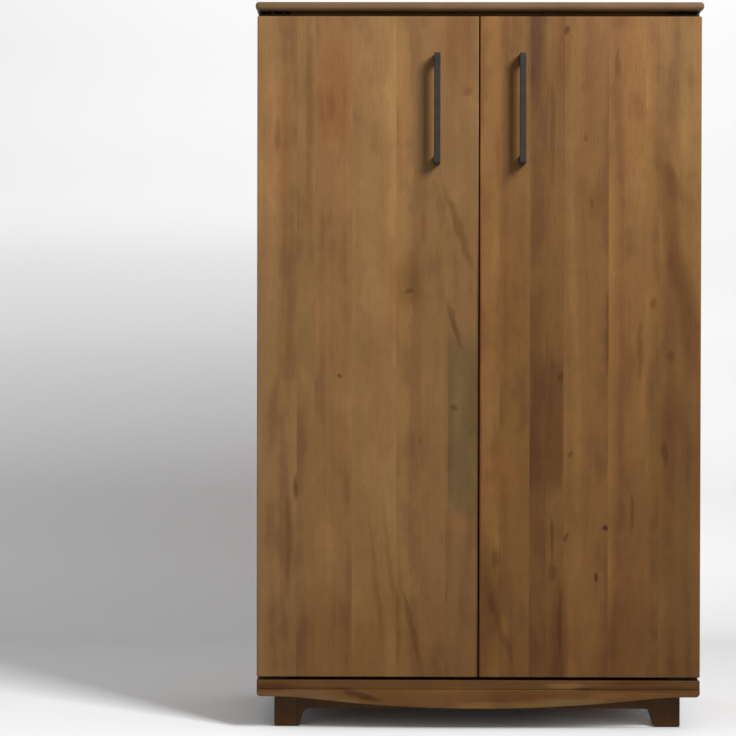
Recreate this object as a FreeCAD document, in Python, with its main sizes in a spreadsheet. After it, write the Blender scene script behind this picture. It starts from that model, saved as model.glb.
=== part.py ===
import FreeCAD, Part
import math
import os
import re
import Sketcher

# Bar cabinet with two doors on a bracket-foot base. Millimetres, Z up, front towards -Y.
# The origin is on the floor, under the middle of the whole object.

# Driving dimensions
DIMENSIONS = {
    # Top board
    "overall_height": 1405,
    "top_lap": 3,
    "top_depth": 457,
    "top_thick": 16,
    "top_round": 7,
    "top_overhang": 12,
    # Doors
    "door_span": 856,
    "door_gap": 2,
    "door_thick": 22,
    "door_round": 2.5,
    # Pivot hinges
    "pivot_inset": 11,
    "pin_diameter": 6,
    "pin_engage": 12,
    "pin_clearance": 0.05,
    "pin_room": 0.5,
    "leaf_length": 46,
    "leaf_width": 14,
    "leaf_thick": 2.5,
    "leaf_screw_first": 18,
    "leaf_screw_second": 40,
    "washer_diameter": 12,
    "washer_thick": 1,
    "lift_room": 5,
    "swing_clearance": 0.7,
    # Pulls
    "handle_length": 212,
    "handle_width": 12,
    "handle_thick": 10,
    "handle_leg": 16,
    "handle_reach": 32,
    "handle_inset": 81,
    "handle_drop": 74,
    "handle_corner": 4,
    "handle_round": 1.2,
    "handle_screw": 4,
    "handle_screw_head": 8,
    "handle_screw_cap": 2.5,
    "handle_screw_grip": 10,
    "handle_screw_play": 0.25,
    # Door battens
    "batten_inset": 48,
    "batten_gap": 24,
    "batten_height": 60,
    "batten_thick": 16,
    "batten_low_inset": 110,
    "batten_high_inset": 130,
    "batten_screw_inset": 30,
    # Catches
    "catch_offset": 45,
    "catch_length": 50,
    "catch_body": 28,
    "catch_depth": 16,
    "catch_height": 14,
    "catch_plate": 2,
    "catch_screw_inset": 5.5,
    "catch_clearance": 0.3,
    "strike_width": 32,
    "strike_height": 12,
    "strike_thick": 1.2,
    # Carcass
    "door_lap": 1,
    "side_thick": 20,
    "bottom_thick": 18,
    "bottom_setback": 1.5,
    "bottom_round": 1.5,
    "back_thick": 6,
    "back_lap": 10,
    "back_screw_inset": 60,
    "stretcher_depth": 70,
    "stretcher_thick": 18,
    "wall_rail_height": 90,
    "wall_rail_thick": 18,
    "wall_hole_diameter": 6,
    "wall_hole_spacing": 500,
    # Shelves
    "shelf_thick": 18,
    "shelf_setback": 25,
    "shelf_clearance": 1.5,
    "dado_depth": 6,
    "lower_bay": 657,
    "glass_room": 250,
    "wine_room": 200,
    "peg_diameter": 5,
    "peg_depth": 9,
    "peg_reach": 10,
    "peg_plate": 2.5,
    "peg_plate_width": 12,
    "peg_inset": 60,
    "peg_pitch": 32,
    "peg_clearance": 0.1,
    # Bottle cradles
    "cradle_height": 60,
    "cradle_thick": 18,
    "cradle_radius": 42,
    "cradle_pitch": 115,
    "cradle_setback": 100,
    "cradle_spacing": 150,
    # Stemware rails
    "stem_pitch": 115,
    "stem_slot": 30,
    "stem_web": 20,
    "stem_room": 14,
    "stem_flange": 8,
    "stem_setback": 40,
    "stem_end_gap": 5,
    # Base
    "base_clearance": 66,
    "apron_height": 14,
    "apron_bow": 23,
    "apron_thick": 22,
    "apron_flat": 28,
    "apron_sweep": 75,
    "apron_corner": 8,
    "apron_round": 1.2,
    "foot_inset": 32,
    "foot_width": 49,
    "foot_taper": 10,
    "foot_corner": 15,
    "foot_ear": 84,
    "rail_height": 44,
    "rail_thick": 20,
    "frame_recess": 25,
    "frame_setback": 12,
    "pad_thick": 2,
    "pad_inset": 3,
    # Fasteners
    "dowel_diameter": 8,
    "dowel_length": 24,
    "dowel_edge": 20,
    "wood_screw": 4,
    "wood_screw_head": 8,
    "wood_screw_length": 30,
    "small_screw": 3.5,
    "small_screw_head": 7,
    "small_screw_length": 16,
    "recess_length": 4,
    "recess_width": 1,
    "recess_depth": 1.2,
}

# Places that follow from the driving dimensions
LAYOUT = {
    # Heights
    "top_under": "overall_height - top_thick",
    "frame_top": "base_clearance + apron_height",
    "bottom_top": "frame_top + bottom_thick",
    "door_low": "bottom_top + 2 * leaf_thick + washer_thick",
    "door_high": "top_under - 2 * leaf_thick - lift_room",
    "door_height": "door_high - door_low",
    "body_height": "top_under - bottom_top",
    "stretcher_low": "top_under - stretcher_thick",
    "wall_rail_low": "stretcher_low - wall_rail_height",
    "serving_low": "bottom_top + lower_bay",
    "serving_top": "serving_low + shelf_thick",
    "upper_shelf_low": "stretcher_low - glass_room - shelf_thick",
    "lower_shelf_low": "bottom_top + wine_room",
    # Depths, from the front of the pulls to the back
    "front": "(handle_reach + top_overhang - top_depth) / 2",
    "back": "front - top_overhang + top_depth",
    "door_back": "front + door_thick",
    "swing_across": "pivot_inset - door_round",
    "swing_along": "door_thick / 2 - door_round",
    "swing_reach": "sqrt(swing_across * swing_across + swing_along * swing_along) + door_round",
    "body_front": "door_back + swing_reach - door_thick / 2 + swing_clearance",
    "inner_back": "back - back_thick",
    "shelf_front": "body_front + shelf_setback",
    "wall_rail_front": "inner_back - wall_rail_thick",
    "bottom_front": "front + bottom_setback",
    "bottom_depth": "back - bottom_front",
    "cradle_front": "body_front + cradle_setback",
    "cradle_rear": "cradle_front + cradle_spacing",
    "frame_front": "front + apron_thick + frame_recess",
    "frame_back": "back - frame_setback",
    "frame_middle": "(frame_front + frame_back) / 2",
    "catch_front": "door_back + strike_thick + catch_clearance",
    # Widths
    "door_edge": "door_span / 2",
    "door_width": "(door_span - door_gap) / 2",
    "top_width": "door_span + 2 * top_lap",
    "body_width": "door_span - 2 * door_lap",
    "body_half": "body_width / 2",
    "inner_half": "body_half - side_thick",
    "inner_width": "2 * inner_half",
    "frame_half": "door_edge - foot_inset",
    # Pivots
    "pivot_x": "door_edge - pivot_inset",
    "pivot_y": "front + door_thick / 2",
    # Pulls
    "handle_x": "door_gap / 2 + handle_inset",
    "handle_low": "door_high - handle_drop - handle_length",
    "handle_lower_leg": "handle_low + handle_leg / 2",
    "handle_upper_leg": "handle_low + handle_length - handle_leg / 2",
    # Battens
    "batten_inner": "door_gap / 2 + batten_inset",
    "batten_outer": "inner_half - batten_gap",
    "batten_length": "batten_outer - batten_inner",
    "batten_middle": "(batten_inner + batten_outer) / 2",
    "batten_lower": "door_low + batten_low_inset",
    "batten_upper": "door_high - batten_high_inset - batten_height",
    # Feet and apron outline
    "rail_low": "frame_top - rail_height",
    "foot_notch": "rail_low - pad_thick",
    "foot_tall": "frame_top - pad_thick",
    "apron_tall": "apron_bow + apron_height",
    "apron_low": "base_clearance - apron_bow",
    "bow_half": "door_span / 2 - apron_flat",
    "bow_ratio": "apron_bow / bow_half",
    "bow_reach": "bow_half - apron_sweep",
    "bow_radius": "bow_reach * (1 + bow_ratio * bow_ratio) / (2 * bow_ratio)",
    "sweep_radius": "apron_sweep * (1 + bow_ratio * bow_ratio) / (2 * bow_ratio)",
    "bend_height": "bow_reach * bow_ratio",
    "bend_left": "apron_flat + apron_sweep",
    "bend_right": "door_span - bend_left",
    "flat_right": "door_span - apron_flat",
    # Stemware rails
    "stem_width": "stem_pitch - stem_slot",
    "stem_low": "stretcher_low - stem_room - stem_flange",
    "stem_front": "body_front + stem_setback",
    "stem_back": "wall_rail_front - stem_end_gap",
}

STEM_RAILS = 5
STEM_MIDDLE = (STEM_RAILS - 1) / 2
PEG_ROWS = range(-2, 3)
SIGNS = ("-", "")

doc = FreeCAD.newDocument("bar_cabinet")


def named(text, home=""):
    """Writes the sheet's name before each size in a formula, except inside that sheet."""

    def with_sheet(match):
        word = match.group()
        for sheet, cells in (("dims", DIMENSIONS), ("layout", LAYOUT)):
            if word in cells and sheet != home:
                return f"{sheet}.{word}"
        return word

    return re.sub(r"\b[a-z]\w*\b", with_sheet, text)


def fill_sheet(name, cells):
    """Makes a sheet with one named value in each row."""
    sheet = doc.addObject("Spreadsheet::Sheet", name)
    for row, (alias, content) in enumerate(cells.items(), start=1):
        sheet.set(f"A{row}", alias)
        sheet.set(f"B{row}", content)
        sheet.setAlias(f"B{row}", alias)
    doc.recompute()
    return sheet


dims = fill_sheet("dims", {alias: str(value) for alias, value in DIMENSIONS.items()})
layout = fill_sheet("layout", {alias: "=" + named(text, "layout") for alias, text in LAYOUT.items()})


def size(alias):
    """The present value of a size."""
    return float(getattr(dims if alias in DIMENSIONS else layout, alias))


def bind(piece, prop, text):
    """Ties a property of a piece to a formula of sizes."""
    piece.setExpression(prop, named(text))


def place(piece, x, y, z):
    """Ties the place of a piece to three formulas."""
    for axis, text in zip("xyz", (x, y, z)):
        bind(piece, f"Placement.Base.{axis}", text)


# Square-edged and round stock

WAYS = {
    "x": FreeCAD.Rotation(FreeCAD.Vector(0, 1, 0), 90),
    "y": FreeCAD.Rotation(FreeCAD.Vector(1, 0, 0), -90),
    "-y": FreeCAD.Rotation(FreeCAD.Vector(1, 0, 0), 90),
    "z": FreeCAD.Rotation(),
    "-z": FreeCAD.Rotation(FreeCAD.Vector(1, 0, 0), 180),
}


def board(name, x, y, z):
    """A square-edged board between two planes along each axis."""
    piece = doc.addObject("Part::Box", name)
    for side, (low, high) in zip(("Length", "Width", "Height"), (x, y, z)):
        bind(piece, side, f"({high}) - ({low})")
    place(piece, x[0], y[0], z[0])
    return piece


def rod(name, radius, length, way, x, y, z):
    """A round rod that starts at a point and runs one way."""
    piece = doc.addObject("Part::Cylinder", name)
    piece.Placement = FreeCAD.Placement(FreeCAD.Vector(), WAYS[way])
    bind(piece, "Radius", radius)
    bind(piece, "Height", length)
    place(piece, x, y, z)
    return piece


def joined(name, pieces):
    """Pieces fused into one solid."""
    whole = doc.addObject("Part::MultiFuse", name)
    whole.Shapes = pieces
    whole.Refine = True
    return whole


def group(name, pieces):
    """Alike pieces that stay separate solids."""
    together = doc.addObject("Part::Compound", name)
    together.Links = pieces
    return together


def cut(name, blank, tools):
    """A blank with each of the other pieces taken out of it."""
    piece = doc.addObject("Part::Cut", name)
    piece.Base = blank
    piece.Tool = tools[0] if len(tools) == 1 else group(name + "_cuts", tools)
    piece.Refine = True
    return piece


def mirrored(name, source):
    """The right-hand twin of a left-hand piece."""
    twin = doc.addObject("Part::Mirroring", name)
    twin.Source = source
    twin.Normal = FreeCAD.Vector(1, 0, 0)
    return twin


def recess(way, x, y, z):
    """The two arms of the cross in the face of a screw head."""
    arms = []
    half_arms = ("recess_length / 2", "recess_width / 2")
    for half, other_half in (half_arms, half_arms[::-1]):
        arm_x = (f"{x} - {half}", f"{x} + {half}")
        if way == "-y":
            arm_y = (f"{y} - recess_depth", y)
            arm_z = (f"{z} - {other_half}", f"{z} + {other_half}")
        else:
            arm_y = (f"{y} - {other_half}", f"{y} + {other_half}")
            arm_z = (z, f"{z} + recess_depth") if way == "z" else (f"{z} - recess_depth", z)
        arms.append(board("recess_arm", arm_x, arm_y, arm_z))
    return arms


recesses = {}


def screw(name, kind, way, x, y, z):
    """A countersunk screw whose flat head face is at a point."""
    head = doc.addObject("Part::Cone", name + "_head")
    head.Placement = FreeCAD.Placement(FreeCAD.Vector(), WAYS[way])
    bind(head, "Radius1", f"{kind}_head / 2")
    bind(head, "Radius2", f"{kind} / 2")
    bind(head, "Height", f"({kind}_head - {kind}) / 2")
    place(head, x, y, z)
    shank = rod(name + "_shank", f"{kind} / 2", f"{kind}_length", way, x, y, z)
    whole = joined(name, [head, shank])
    recesses[whole.Name] = recess(way, x, y, z)
    return whole


def crossed(name, stock):
    """A group of screws with a cross cut in each head."""
    return cut(name, stock, [arm for piece in stock.Links for arm in recesses[piece.Name]])


# Drawn pieces

def new_body(name):
    """An empty body."""
    return doc.addObject("PartDesign::Body", name)


def sketch_on(body, role):
    """An empty sketch on one of the body's own planes."""
    sketch = body.newObject("Sketcher::SketchObject", f"{body.Name}_{role}_sketch")
    plane = next(feature for feature in body.Origin.OriginFeatures if feature.Role == role)
    sketch.AttachmentSupport = [(plane, "")]
    sketch.MapMode = "FlatFace"
    return sketch


def span(sketch, way, start, end, alias):
    """A distance in a sketch between two points, tied to a size."""
    value = size(alias)
    index = sketch.addConstraint(Sketcher.Constraint(way, *start, *end, value))
    name = f"{alias}_{index}"
    sketch.renameConstraint(index, name)
    bind(sketch, f"Constraints.{name}", alias)


def outline(sketch, corners, spans):
    """A closed outline of straight lines from the sketch's origin, sized by its spans."""
    count = len(corners)
    points = [FreeCAD.Vector(x, y, 0) for x, y in corners]
    for index in range(count):
        sketch.addGeometry(Part.LineSegment(points[index], points[(index + 1) % count]))
    sketch.addConstraint(Sketcher.Constraint("Coincident", 0, 1, -1, 1))
    for index in range(count):
        after = (index + 1) % count
        sketch.addConstraint(Sketcher.Constraint("Coincident", index, 2, after, 1))
        if corners[index][1] == corners[after][1]:
            sketch.addConstraint(Sketcher.Constraint("Horizontal", index))
        elif corners[index][0] == corners[after][0]:
            sketch.addConstraint(Sketcher.Constraint("Vertical", index))
    for way, start, end, alias in spans:
        span(sketch, way, (start, 1), (end, 1), alias)


def pad(body, sketch, length, backwards=False):
    """A sketch raised to a solid."""
    raised = body.newObject("PartDesign::Pad", f"{sketch.Name}_pad")
    raised.Profile = sketch
    raised.Reversed = backwards
    bind(raised, "Length", length)
    doc.recompute()
    return raised


def edge_names(feature, wanted):
    """Names of the edges of a feature that pass a test."""
    return [f"Edge{number}" for number, edge in enumerate(feature.Shape.Edges, start=1) if wanted(edge)]


def rounded(body, feature, radius, wanted):
    """A feature with some of its edges rounded."""
    fillet = body.newObject("PartDesign::Fillet", f"{feature.Name}_fillet")
    fillet.Base = (feature, edge_names(feature, wanted))
    bind(fillet, "Radius", radius)
    doc.recompute()
    return fillet


def rounded_slab(name, width, depth, height, radius):
    """A slab with every edge rounded, its low corner at the body's origin."""
    body = new_body(name)
    sketch = sketch_on(body, "XY_Plane")
    across, along = size(width), size(depth)
    spans = [("DistanceX", 0, 1, width), ("DistanceY", 1, 2, depth)]
    outline(sketch, [(0, 0), (across, 0), (across, along), (0, along)], spans)
    rounded(body, pad(body, sketch, height), radius, lambda edge: True)
    return body


def runs_along(edge, axis):
    """Whether an edge is straight and runs along an axis."""
    if edge.Curve.TypeId != "Part::GeomLine":
        return False
    return math.isclose(abs(edge.Curve.Direction.dot(axis)), 1, abs_tol=1e-6)


# Fasteners come first, because each board is drilled with the fasteners that it holds

WALL_RAIL_Y = "wall_rail_front + wall_rail_thick / 2"
SIDE_X = "inner_half + side_thick / 2"

dowels = []


def dowel(way, x, y, z):
    """A dowel centred on the joint between two boards."""
    back_off = " - dowel_length / 2"
    start = {"x": (x + back_off, y, z), "y": (x, y + back_off, z), "z": (x, y, z + back_off)}[way]
    name = f"dowel_{len(dowels) + 1}"
    dowels.append(rod(name, "dowel_diameter / 2", "dowel_length", way, *start))


for sign in SIGNS:
    # Sides to the bottom board and to the top board
    for y in ("body_front + 5 * dowel_edge", "(body_front + back) / 2", "back - 5 * dowel_edge"):
        dowel("z", f"{sign}({SIDE_X})", y, "bottom_top")
        dowel("z", f"{sign}({SIDE_X})", y, "top_under")
    # Stretchers, wall rail and cradles to the sides
    for y in ("body_front + dowel_edge", "body_front + stretcher_depth - dowel_edge",
              "inner_back - dowel_edge", "inner_back - stretcher_depth + dowel_edge"):
        dowel("x", f"{sign}inner_half", y, "stretcher_low + stretcher_thick / 2")
    for z in ("wall_rail_low + dowel_edge", "stretcher_low - dowel_edge"):
        dowel("x", f"{sign}inner_half", WALL_RAIL_Y, z)
    for y in ("cradle_front", "cradle_rear"):
        dowel("x", f"{sign}inner_half", f"{y} + cradle_thick / 2", "bottom_top + cradle_height / 2")
    # Leg frame: rails to the feet, feet to the bottom board
    for z in ("rail_low + dowel_edge / 2", "frame_top - dowel_edge / 2"):
        for y in ("frame_front + rail_thick / 2", "frame_back - rail_thick / 2"):
            dowel("x", f"{sign}(frame_half - foot_ear)", y, z)
        for y in ("frame_front + foot_ear", "frame_back - foot_ear"):
            dowel("y", f"{sign}(frame_half - rail_thick / 2)", y, z)
    for y in ("frame_front + foot_ear / 2", "frame_back - foot_ear / 2"):
        dowel("z", f"{sign}(frame_half - foot_ear / 2)", y, "frame_top")
    # Apron to the bottom board
    for x in ("0.2 * door_edge", "0.6 * door_edge"):
        dowel("z", f"{sign}({x})", "front + apron_thick / 2", "frame_top")

all_dowels = group("dowels", dowels)

wood_screws = []


def wood_screw(way, x, y, z):
    """A long wood screw of the carcass."""
    wood_screws.append(screw(f"wood_screw_{len(wood_screws) + 1}", "wood_screw", way, x, y, z))


FRONT_STRETCHER_Y = "body_front + stretcher_depth / 2"
REAR_STRETCHER_Y = "inner_back - stretcher_depth / 2"
for sign in SIGNS:
    # Through the stretchers up into the top board
    for x in ("0.2 * inner_half", "0.85 * inner_half"):
        for y in (FRONT_STRETCHER_Y, REAR_STRETCHER_Y):
            wood_screw("z", f"{sign}({x})", y, "stretcher_low")

# Through the stemware rails up into the stretchers
for index in range(STEM_RAILS):
    for y in ("(stem_front + body_front + stretcher_depth) / 2",
              "(stem_back + inner_back - stretcher_depth) / 2"):
        wood_screw("z", f"{index - STEM_MIDDLE} * stem_pitch", y, "stem_low")

all_wood_screws = group("wood_screw_stock", wood_screws)
crossed("wood_screws", all_wood_screws)

small_screws = []


def small_screw(way, x, y, z):
    """A short screw of the carcass."""
    small_screws.append(screw(f"small_screw_{len(small_screws) + 1}", "small_screw", way, x, y, z))


for sign in SIGNS:
    # Frame leaves of the hinges
    for along in ("leaf_screw_first", "leaf_screw_second"):
        small_screw("-z", f"{sign}(pivot_x - {along})", "pivot_y", "bottom_top + leaf_thick")
        small_screw("z", f"{sign}(pivot_x - {along})", "pivot_y", "top_under - leaf_thick")
    # Catch plates
    for along in ("-1", "1"):
        catch_screw_x = f"catch_offset + {along} * (catch_length / 2 - catch_screw_inset)"
        catch_screw_y = "catch_front + catch_depth / 2"
        small_screw("z", f"{sign}({catch_screw_x})", catch_screw_y, "stretcher_low - catch_plate")
    # Back panel to the sides
    for step in range(5):
        z = f"bottom_top + back_screw_inset + {step} * (body_height - 2 * back_screw_inset) / 4"
        small_screw("-y", f"{sign}(inner_half + back_lap / 2)", "back", z)

all_small_screws = group("small_screw_stock", small_screws)
crossed("small_screws", all_small_screws)

# Pivot pins and thrust washers

pins = []
washers = []
for sign in SIGNS:
    place_xy = (f"{sign}pivot_x", "pivot_y")
    lower_length = "door_low - bottom_top + pin_engage"
    upper_length = "top_under - door_high + pin_engage"
    pins.append(rod("lower_pin", "pin_diameter / 2", lower_length, "z", *place_xy, "bottom_top"))
    pins.append(rod("upper_pin", "pin_diameter / 2", upper_length, "-z", *place_xy, "top_under"))
    washer_low = "bottom_top + leaf_thick"
    ring = rod("washer_disc", "washer_diameter / 2", "washer_thick", "z", *place_xy, washer_low)
    bore = rod("washer_bore", "pin_diameter / 2 + pin_clearance", "washer_thick", "z",
               *place_xy, washer_low)
    washers.append(cut("washer", ring, [bore]))
hinge_pins = group("hinge_pins", pins)
hinge_washers = group("hinge_washers", washers)

# Top board and bottom board

top_blank = rounded_slab("top_blank", "top_width", "top_depth", "top_thick",
                         "min(top_round; 0.45 * top_thick)")
place(top_blank, "-top_width / 2", "back - top_depth", "top_under")
top_panel = cut("top_panel", top_blank, [all_dowels, all_wood_screws, all_small_screws])

bottom_blank = rounded_slab("bottom_blank", "door_span", "bottom_depth", "bottom_thick",
                            "min(bottom_round; 0.45 * bottom_thick)")
place(bottom_blank, "-door_span / 2", "bottom_front", "frame_top")
bottom_panel = cut("bottom_panel", bottom_blank, [all_dowels, all_small_screws])

# Stretchers, wall rail and back panel

INNER_X = ("-inner_half", "inner_half")
STRETCHER_Z = ("stretcher_low", "top_under")
stretcher_blank = board("front_stretcher_blank", INNER_X,
                        ("body_front", "body_front + stretcher_depth"), STRETCHER_Z)
front_stretcher = cut("front_stretcher", stretcher_blank,
                      [all_dowels, all_wood_screws, all_small_screws])

stretcher_blank = board("rear_stretcher_blank", INNER_X,
                        ("inner_back - stretcher_depth", "inner_back"), STRETCHER_Z)
rear_stretcher = cut("rear_stretcher", stretcher_blank, [all_dowels, all_wood_screws])

wall_holes = [
    rod("wall_hole", "wall_hole_diameter / 2", "wall_rail_thick + back_thick", "-y",
        f"{sign}wall_hole_spacing / 2", "back", "(wall_rail_low + stretcher_low) / 2")
    for sign in SIGNS
]
wall_rail_blank = board("wall_rail_blank", INNER_X, ("wall_rail_front", "inner_back"),
                        ("wall_rail_low", "stretcher_low"))
wall_rail = cut("wall_rail", wall_rail_blank, [all_dowels, *wall_holes])

back_blank = board("back_blank", ("-inner_half - back_lap", "inner_half + back_lap"),
                   ("inner_back", "back"), ("bottom_top", "top_under"))
back_panel = cut("back_panel", back_blank, [all_small_screws, *wall_holes])

# Shelves and their pegs

serving_shelf = board("serving_shelf", ("-inner_half - dado_depth", "inner_half + dado_depth"),
                      ("shelf_front", "inner_back"), ("serving_low", "serving_top"))

SHELF_X = ("-inner_half + shelf_clearance", "inner_half - shelf_clearance")
SHELF_Y = ("shelf_front", "wall_rail_front - shelf_clearance")
shelves = {
    label: board(label, SHELF_X, SHELF_Y, (f"{label}_low", f"{label}_low + shelf_thick"))
    for label in ("upper_shelf", "lower_shelf")
}

PEG_YS = ("shelf_front + peg_inset", "wall_rail_front - peg_inset")
pegs = []
for sign in SIGNS:
    if sign:
        shank_start = "-inner_half - peg_depth"
        plate_x = ("-inner_half", "-inner_half + peg_reach")
    else:
        shank_start = "inner_half - peg_reach"
        plate_x = ("inner_half - peg_reach", "inner_half")
    for label in shelves:
        for y in PEG_YS:
            z = f"{label}_low - peg_diameter / 2"
            shank = rod("peg_shank", "peg_diameter / 2", "peg_depth + peg_reach", "x", shank_start, y, z)
            plate_y = (f"{y} - peg_plate_width / 2", f"{y} + peg_plate_width / 2")
            plate = board("peg_tongue", plate_x, plate_y, (f"{label}_low - peg_plate", f"{label}_low"))
            pegs.append(joined("peg", [shank, plate]))
shelf_pins = group("shelf_pins", pegs)

peg_holes = []
for label in shelves:
    for y in PEG_YS:
        for row in PEG_ROWS:
            z = f"{label}_low - peg_diameter / 2 + {row} * peg_pitch"
            hole = rod("peg_hole", "peg_diameter / 2 + peg_clearance", "peg_depth + peg_clearance", "x",
                       "-inner_half - peg_depth - peg_clearance", y, z)
            peg_holes.append(hole)

# Sides, housed for the shelf and rabbeted for the back

side_blank = board("side_blank", ("-body_half", "-inner_half"), ("body_front", "back"),
                   ("bottom_top", "top_under"))
left_side = cut("left_side", side_blank,
                [serving_shelf, back_blank, all_dowels, all_small_screws, *peg_holes])
right_side = mirrored("right_side", left_side)

# Bottle cradles: a rail with round hollows along its top edge

HOLLOWS = int(size("inner_width") // size("cradle_pitch"))
cradles = []
for label, y in (("front_cradle", "cradle_front"), ("rear_cradle", "cradle_rear")):
    blank = board(f"{label}_blank", INNER_X, (y, f"{y} + cradle_thick"),
                  ("bottom_top", "bottom_top + cradle_height"))
    hollows = [
        rod("bottle_hollow", "cradle_radius", "cradle_thick", "y",
            f"{index - (HOLLOWS - 1) / 2} * cradle_pitch", y, "bottom_top + cradle_height")
        for index in range(HOLLOWS)
    ]
    cradles.append(cut(label, blank, [all_dowels, *hollows]))

# Stemware rails, each a web under the stretchers with a wider flange below it

stem_rails = []
for index in range(STEM_RAILS):
    middle = f"{index - STEM_MIDDLE} * stem_pitch"
    stem_y = ("stem_front", "stem_back")
    web_x = (f"{middle} - stem_web / 2", f"{middle} + stem_web / 2")
    web = board("stem_web_strip", web_x, stem_y, ("stem_low + stem_flange", "stretcher_low"))
    flange_x = (f"{middle} - stem_width / 2", f"{middle} + stem_width / 2")
    flange = board("stem_flange_strip", flange_x, stem_y, ("stem_low", "stem_low + stem_flange"))
    profile = joined("stem_profile", [web, flange])
    stem_rails.append(cut(f"stemware_rail_{index + 1}", profile, [all_wood_screws]))

# Front apron: flat at the ends, then swept down to a bowed middle

def apron_blank():
    """The apron's outline, raised to its thickness and rounded."""
    body = new_body("apron_blank")
    sketch = sketch_on(body, "XZ_Plane")
    top, low, right = size("apron_tall"), size("apron_bow"), size("door_span")
    flat, flat_right = size("apron_flat"), size("flat_right")
    bend_left, bend_right, bend = size("bend_left"), size("bend_right"), size("bend_height")
    turn = 2 * math.atan(size("bow_ratio"))
    quarter = math.pi / 2

    def line(start, end):
        sketch.addGeometry(Part.LineSegment(FreeCAD.Vector(*start, 0), FreeCAD.Vector(*end, 0)))

    def arc(centre, radius, start, end):
        circle = Part.Circle(FreeCAD.Vector(*centre, 0), FreeCAD.Vector(0, 0, 1), radius)
        sketch.addGeometry(Part.ArcOfCircle(circle, start, end))

    line((0, top), (right, top))
    line((right, top), (right, low))
    line((right, low), (flat_right, low))
    sweep = size("sweep_radius")
    bow = size("bow_radius")
    arc((flat_right, low - sweep), sweep, quarter, quarter + turn)
    arc((right / 2, bow), bow, 3 * quarter - turn, 3 * quarter + turn)
    arc((flat, low - sweep), sweep, quarter - turn, quarter)
    line((flat, low), (0, low))
    line((0, low), (0, top))

    meetings = [(0, 2, 1, 1), (1, 2, 2, 1), (2, 2, 3, 1), (3, 2, 4, 2),
                (4, 1, 5, 1), (5, 2, 6, 1), (6, 2, 7, 1), (7, 2, 0, 1)]
    for meeting in meetings:
        sketch.addConstraint(Sketcher.Constraint("Coincident", *meeting))
    for index in (0, 2, 6):
        sketch.addConstraint(Sketcher.Constraint("Horizontal", index))
    for index in (1, 7):
        sketch.addConstraint(Sketcher.Constraint("Vertical", index))
    sketch.addConstraint(Sketcher.Constraint("PointOnObject", 0, 1, -2))
    origin = (-1, 1)
    span(sketch, "DistanceX", origin, (0, 2), "door_span")
    span(sketch, "DistanceY", origin, (0, 1), "apron_tall")
    span(sketch, "DistanceY", origin, (2, 1), "apron_bow")
    span(sketch, "DistanceY", origin, (6, 1), "apron_bow")
    span(sketch, "DistanceX", origin, (3, 1), "flat_right")
    span(sketch, "DistanceX", origin, (6, 1), "apron_flat")
    span(sketch, "DistanceX", origin, (4, 2), "bend_right")
    span(sketch, "DistanceY", origin, (4, 2), "bend_height")
    span(sketch, "DistanceX", origin, (4, 1), "bend_left")
    span(sketch, "DistanceY", origin, (4, 1), "bend_height")
    for index, alias in ((3, "sweep_radius"), (4, "bow_radius"), (5, "sweep_radius")):
        radius = sketch.addConstraint(Sketcher.Constraint("Radius", index, size(alias)))
        sketch.renameConstraint(radius, f"{alias}_{radius}")
        bind(sketch, f"Constraints.{alias}_{radius}", alias)

    raised = pad(body, sketch, "apron_thick", backwards=True)
    depth_way = FreeCAD.Vector(0, 1, 0)

    def end_corner(edge):
        at = edge.CenterOfMass
        at_end = min(abs(at.x), abs(at.x - right)) < 0.01
        return runs_along(edge, depth_way) and at_end and abs(at.z - low) < 0.01

    def front_edge(edge):
        return all(abs(vertex.Point.y) < 0.01 for vertex in edge.Vertexes)

    cornered = rounded(body, raised, "min(apron_corner; 0.9 * apron_height)", end_corner)
    rounded(body, cornered, "min(apron_round; 0.4 * apron_height)", front_edge)
    return body


apron = apron_blank()
place(apron, "-door_span / 2", "front", "apron_low")
front_apron = cut("front_apron", apron, [all_dowels])

# Feet, tapered on both inner faces, and the rails between them

def foot_profile(role, backwards, across):
    """The foot's outline as it shows from one side, raised through the foot's ear."""
    body = new_body("foot_profile")
    sketch = sketch_on(body, role)
    width, taper, ear = size("foot_width"), size("foot_taper"), size("foot_ear")
    notch, tall = size("foot_notch"), size("foot_tall")
    corners = [(0, 0), (width, 0), (width + taper, notch), (ear, notch), (ear, tall), (0, tall)]
    spans = [
        ("DistanceX", 0, 1, "foot_width"),
        ("DistanceX", 1, 2, "foot_taper"),
        ("DistanceY", 1, 2, "foot_notch"),
        ("DistanceX", 0, 3, "foot_ear"),
        ("DistanceY", 0, 4, "foot_tall"),
    ]
    outline(sketch, corners, spans)
    raised = pad(body, sketch, "foot_ear", backwards)

    def inner_corner(edge):
        reach = abs(edge.CenterOfMass.dot(across["along"]) - width - taper) < 0.01
        return runs_along(edge, across["through"]) and reach

    rounded(body, raised, "foot_corner", inner_corner)
    place(body, "-frame_half", "frame_front", "pad_thick")
    return body


AXIS_X = FreeCAD.Vector(1, 0, 0)
AXIS_Y = FreeCAD.Vector(0, 1, 0)
front_profile = foot_profile("XZ_Plane", True, {"along": AXIS_X, "through": AXIS_Y})
side_profile = foot_profile("YZ_Plane", False, {"along": AXIS_Y, "through": AXIS_X})
foot_shape = doc.addObject("Part::MultiCommon", "foot_shape")
foot_shape.Shapes = [front_profile, side_profile]
rear_shape = mirrored("rear_foot_shape", foot_shape)
rear_shape.Normal = AXIS_Y
bind(rear_shape, "Base.y", "frame_middle")

left_front_foot = cut("left_front_foot", foot_shape, [all_dowels])
left_rear_foot = cut("left_rear_foot", rear_shape, [all_dowels])
right_front_foot = mirrored("right_front_foot", left_front_foot)
right_rear_foot = mirrored("right_rear_foot", left_rear_foot)

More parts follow.
